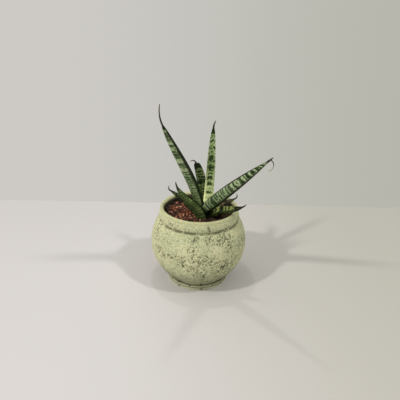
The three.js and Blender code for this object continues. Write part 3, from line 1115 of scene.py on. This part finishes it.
def leaf_finish(name, leaf, look):
    """The finish of one leaf, with its own pattern in its own numbers."""
    look = {**COMMON_LOOK, **look}
    material, bench, sockets = new_finish(name + "_finish")
    place = bench.add("ShaderNodeAttribute", {"attribute_name": "leaf_place"})["Vector"]
    across, facing, along = bench.split(place)
    length = leaf["length"]
    shift = look["shift"]

    def leaf_noise(around, lengthwise, detail=2.0):
        """Noise that is as fine as asked round the leaf and along it."""
        spot = bench.join(across * around, facing * around, along * lengthwise + shift)
        return bench.noise(spot, 1.0, detail)

    broad = leaf_noise(1.1, 0.1, 1.0)
    lively = leaf_noise(3.2, 0.42)
    broken = leaf_noise(2.4, 0.3)
    torn = leaf_noise(4.5, 0.5)
    streaks = bench.noise(bench.join(across * 9, facing * 9, along * 0.12), 1.0)
    bent = along + (broad - 0.5) * look["drift"] + (lively - 0.5) * look["waver"]
    bent = bent + across * across * look["sag"]

    # The bars: dark lines between the cells, some cells dark all over, and blotches.
    cell_place = {"W": bent / look["spacing"] + shift, "Scale": 1.0}
    cell_lines = {"voronoi_dimensions": "1D", "feature": "DISTANCE_TO_EDGE"}
    edges = bench.add("ShaderNodeTexVoronoi", cell_lines, cell_place)["Distance"]
    cells = bench.add("ShaderNodeTexVoronoi", {"voronoi_dimensions": "1D"}, cell_place)["Color"]
    chance, tone = bench.split(cells)[:2]
    line = 1 + along.rise(length * 0.55, length * 0.35) * look["low_lines"]
    line = line * (look["line"] / look["spacing"])
    bars = edges.rise(line * 1.1, line * 0.65) * broken.rise(0.36, 0.44)
    bars = bars.or_more(chance.rise(1 - look["filled"], 1.02 - look["filled"]))
    bars = bars.or_more(broken.rise(0.54, 0.6) * look["blotches"])

    def banded(bands):
        """A mask of the listed bands, bent like the bars."""
        stops = {"stops": band_chart(bands, length)}
        ramp = bench.add("ShaderNodeValToRGB", stops, {"Fac": bent / length})
        return bench.split(ramp["Color"])[0].rise(0.25, 0.5)

    # The strong marks, weaker on a pale foot.
    strong = banded(look["bands"]) * broken.rise(look["gaps"], look["gaps"] + 0.12)
    centred = (across - look["spot_centre"] + (torn - 0.5) * 2.2).size().rise(0.85, 0.5)
    strong = strong.or_more(banded(look["spots"]) * centred * torn.rise(0.26, 0.36))
    strong = strong * (1 - along.rise(length * 0.32, length * 0.16) * look["pale_foot"])

    # The flank, partly the leaf's darker green and partly painted shade on the side turned
    # from the light; the point and the margins.
    flank_across, flank_facing, flank_from, flank_to = look["flank"]
    flank = (across * flank_across + facing * flank_facing).rise(flank_from, flank_to)
    flank = flank * (1 - across.rise(0.4, -0.2) * look["flank_fade"]) * look["flank_depth"]
    tip = along.rise(length * look["tip"], length * (0.05 + 0.95 * look["tip"])) * 0.97
    edge = MARGIN_FROM - along.rise(length * 0.42, length * 0.6) * look["upper_edge"]
    margin = (across.size() - edge).rise(0.0, MARGIN_STEP) * look["margin"]
    dark = (bars * look["contrast"]).or_more(strong * look["strength"])
    dark = dark.or_more(flank).or_more(tip).or_more(margin)

    # The pale ground, and the dark marks on it, from the bottom up.
    mottled = (torn * 0.6 + lively * 0.4).rise(0.44, 0.56) * across.size().rise(0.95, 0.45)
    mottled = mottled * look["mottle"]
    young = along.rise(length * look["glow"], 0.0)
    bright = banded(look["blocks"])
    dark = dark * (1 - bright * broken.rise(0.66, 0.5) * (1 - margin) * (1 - flank) * 0.8)
    lit_edge = (across * look["lit_side"]).rise(0.5, 0.9) * along.rise(length * 0.6, length * 0.1)
    colour = bench.painted(shade(*look["pale"]), [
        (tone * 0.5, look["middle"]),
        (mottled, look["middle"]),
        (young * (1 - mottled * 0.55), look["base"]),
        (bright * 0.8, look["block"]),
        (dark, look["dark"]),
        (streaks.rise(0.4, 0.75) * 0.06, look["middle"]),
        (lit_edge * 0.8, look["base"]),
        # Painted shade near the crown, where the leaves above shade the low right leaf.
        (along.rise(25.0, 14.0) * look["crown"], look["dark"]),
    ])

    # The withered point, and the fibre, whose places start at FIBRE_PLACE.
    withered = along.rise(length - 2.5, length + 1.2)
    dry_end = along.rise(length, length + leaf["dry"][0])
    bark = bench.painted(shade(*look["dry_start"]), [
        (dry_end * look["dry_fade"], look["dry_end"]),
        (along.rise(FIBRE_PLACE - 20, FIBRE_PLACE), (58, 48, 38)),
        (along.rise(FIBRE_PLACE + 30, FIBRE_PLACE + 62), (168, 152, 124)),
    ])
    colour = bench.mix(withered, colour, bark)

    roughness = 0.46 + withered * 0.34 + streaks * 0.1 - dark * 0.04
    relief = streaks * 0.6 + lively * 0.25 + bars * 0.1
    surface(bench, sockets, colour, roughness, relief, 0.35, 0.5)
    # A faint painted glow on the young base, which brightens it.
    bench.feed(sockets["Emission Color"], bench.mix(young, BLACK, colour))
    sockets["Emission Strength"].default_value = look["through_light"]
    sockets["Specular IOR Level"].default_value = 0.1
    return material


# What a leaf's look says, where it says nothing else: its colours; how far up its base is
# pale; its bars, their spacing and width in millimetres, and how many are filled or
# blotched; how dark bars and marks are; how far they wander; the marks; the flank, as
# shares of across and facing and where it starts and ends; the point and the margins.
COMMON_LOOK = {
    "pale": (170, 188, 142), "middle": (114, 138, 90), "dark": (18, 32, 10),
    "base": (150, 172, 118), "block": (182, 197, 154), "glow": 0.1, "pale_foot": 0.0,
    "spacing": 4.8, "line": 1.2, "low_lines": 0.0, "filled": 0.15, "blotches": 0.35,
    "contrast": 0.98, "strength": 1.0, "drift": 4.5, "waver": 2.0, "sag": 1.0, "mottle": 0.0,
    "bands": (), "gaps": 0.28, "spots": (), "spot_centre": 0.0, "blocks": (),
    "flank": (0, 1, -0.35, -0.9), "flank_depth": 0.4, "flank_fade": 0.0,
    "tip": 0.93, "margin": 0.96, "upper_edge": 0.0,
    "through_light": 0.0, "lit_side": 0.0, "crown": 0.0, "shift": 0.0,
    "dry_start": (48, 44, 36), "dry_end": (112, 104, 90), "dry_fade": 0.8,
}

# leaf_low_left, leaf_back and the two rear leaves have darker, duller colours: painted shade, where the
# leaves above them shade them.
LOOKS = {
    "leaf_upright": {
        "pale": (186, 204, 154), "middle": (104, 136, 66), "dark": (10, 34, 2),
        "base": (251, 254, 184), "glow": 0.58, "spacing": 6.0, "filled": 0.04, "line": 0.9,
        "contrast": 0.34, "blotches": 0.9, "drift": 4.0, "waver": 4.4, "sag": 2.0, "shift": 3.1,
        "through_light": 0.8, "gaps": 0.4, "lit_side": 1.0, "strength": 0.95,
        "mottle": 0.75, "margin": 0.0, "spot_centre": 0.05, "pale_foot": 0.8,
        "bands": ((119, 3), (112, 1.8), (107.3, 2), (98.5, 2), (92, 1.3), (81, 1.8), (74, 1.2)),
        "spots": ((84.5, 3.4), (69.3, 3.6), (63, 1.5), (57, 3.2), (49, 2.0), (37, 2.2), (29, 1.5)),
    },
    "leaf_tall_left": {
        "spacing": 4.2, "filled": 0.1, "shift": 9.4, "flank": (0, 1, -0.52, -0.28), "flank_depth": 0.97,
        "flank_fade": 0.4, "base": (176, 196, 126), "glow": 0.4, "contrast": 0.82, "tip": 0.955,
        "middle": (96, 126, 74), "dark": (12, 27, 4), "mottle": 0.8, "gaps": 0.36,
        "bands": ((162, 2), (151, 1.6), (145.5, 1.8), (126, 1.2), (102.5, 1.2), (86.5, 1.2),
                  (79, 0.6), (70, 0.6), (60, 0.6), (50, 0.6)),
        "spots": ((155, 1.2), (137.5, 1.6), (121, 2.0), (117, 1.2), (105, 1.0), (91, 0.9)),
        "spot_centre": 0.35, "strength": 0.84,
        "blocks": ((140, 2.0), (131.5, 2.4), (110, 3.2), (94.5, 3.0)),
    },
    "leaf_low_left": {
        "pale": (126, 146, 90), "middle": (62, 84, 40), "dark": (11, 24, 5),
        "spacing": 3.4, "filled": 0.2, "shift": 17.2, "contrast": 0.78, "mottle": 0.75,
    },
    "leaf_stout_right": {
        "pale": (174, 194, 148), "middle": (82, 114, 60), "dark": (12, 26, 4),
        "spacing": 5.4, "line": 1.5, "filled": 0.12, "flank_depth": 0.98, "flank": (1, 0, 0.06, 0.42),
        "shift": 5.7, "sag": 3.0, "low_lines": 0.35, "waver": 2.4, "contrast": 0.84, "tip": 0.98,
        "upper_edge": 0.05, "mottle": 0.7, "strength": 0.97,
        "bands": ((95, 1.2), (103.5, 1.3), (117, 1.3), (130, 2.2), (140, 1.8), (148, 1.8), (157, 1.4)),
        "blocks": ((99.3, 1.5), (110, 2.4), (122.5, 2.0), (135, 1.4), (144, 1.2)),
    },
    "leaf_back": {
        "pale": (130, 146, 100), "middle": (78, 94, 52), "dark": (15, 27, 8),
        "spacing": 3.4, "filled": 0.16, "shift": 23.5, "flank": (0, 1, -0.2, -0.5), "mottle": 0.8,
    },
    "leaf_low_right": {
        "pale": (186, 198, 116), "middle": (108, 130, 60), "dark": (14, 25, 6),
        "spacing": 5.2, "filled": 0.16, "shift": 31.9, "flank": (-1, 0, 0.15, 0.6), "flank_depth": 0.85,
        "bands": ((55, 8),), "crown": 0.95, "mottle": 0.6,
    },
    "leaf_low_left_rear": {
        "pale": (86, 98, 62), "middle": (54, 66, 38), "dark": (28, 36, 22),
        "spacing": 4.0, "filled": 0.3, "shift": 41.3, "dry_start": (34, 32, 28),
    },
    "leaf_low_right_rear": {
        "pale": (108, 100, 72), "middle": (78, 72, 52), "dark": (42, 40, 28),
        "spacing": 3.8, "filled": 0.25, "shift": 53.8,
    },
}

LIGHT_LEAVES = ("leaf_upright", "leaf_tall_left", "leaf_stout_right", "leaf_low_right")

for leaf_name, piece in leaf_pieces.items():
    piece.data.materials.append(leaf_finish(leaf_name, LEAVES[leaf_name], LOOKS[leaf_name]))
    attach(piece, "root")
    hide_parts(leaf_name)
    "leaf_light" if leaf_name in LIGHT_LEAVES else "leaf_dark"
print("leaves finished:", len(leaf_pieces))
